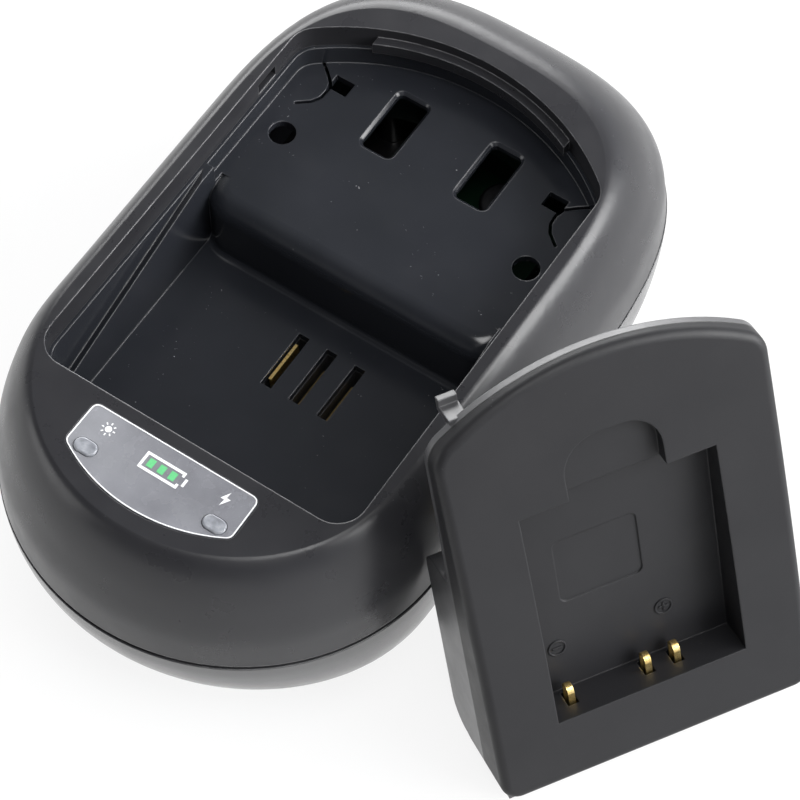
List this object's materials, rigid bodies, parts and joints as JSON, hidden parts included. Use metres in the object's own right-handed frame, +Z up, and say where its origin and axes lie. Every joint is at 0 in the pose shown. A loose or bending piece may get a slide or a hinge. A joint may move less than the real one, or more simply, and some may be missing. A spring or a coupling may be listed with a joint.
{
  "type": "battery charger",
  "caption": "Domed dark battery charger base with an open bay and a status panel, and its battery plate leaning on its side",
  "frame": {"origin": "centre of the footprint of the base with its leaning plate, on the level of the feet", "axes": "+X right of the status panel, +Y from the panel to the supply inlet, +Z up"},
  "size_m": [0.1316, 0.1292, 0.0737],
  "materials": {
    "case_plastic": "satin moulded plastic",
    "bay_plastic": "smooth dark moulded plastic",
    "plate_plastic": "fine-grained moulded plastic",
    "smoked_window": "translucent grey sheet",
    "clear_lens": "clear polished plastic",
    "gilt_contact": "gilt spring metal",
    "screw_steel": "plated steel",
    "foot_rubber": "grey rubber",
    "board_laminate": "green laminate",
    "component_plastic": "black moulded plastic",
    "ferrite": "sintered core",
    "can_metal": "sleeved can"
  },
  "bodies": {
    "root": {"base_contact_left": "gilt_contact", "base_contact_middle": "gilt_contact", "base_contact_right": "gilt_contact", "battery_contact_left": "gilt_contact", "battery_contact_middle": "gilt_contact", "battery_contact_right": "gilt_contact", "bay_tray": "bay_plastic", "blade_contact_left": "gilt_contact", "blade_contact_middle": "gilt_contact", "blade_contact_right": "gilt_contact", "bottom_shell": "case_plastic", "case_screws": "screw_steel", "charge_led": "clear_lens", "charge_light_pipe": "clear_lens", "circuit_board": "board_laminate", "contact_carrier": "component_plastic", "controller_chip": "component_plastic", "dc_jack": "component_plastic", "foot_front_left": "foot_rubber", "foot_front_right": "foot_rubber", "foot_rear_left": "foot_rubber", "foot_rear_right": "foot_rubber", "input_capacitor": "can_metal", "jack_pin": "screw_steel", "output_capacitor": "can_metal", "plate_board": "board_laminate", "plate_cover": "plate_plastic", "plate_housing": "plate_plastic", "plate_screws": "screw_steel", "power_regulator": "component_plastic", "status_led": "clear_lens", "status_light_pipe": "clear_lens", "status_window": "smoked_window", "storage_coil": "ferrite", "top_shell": "case_plastic"}
  },
  "joints": []
}
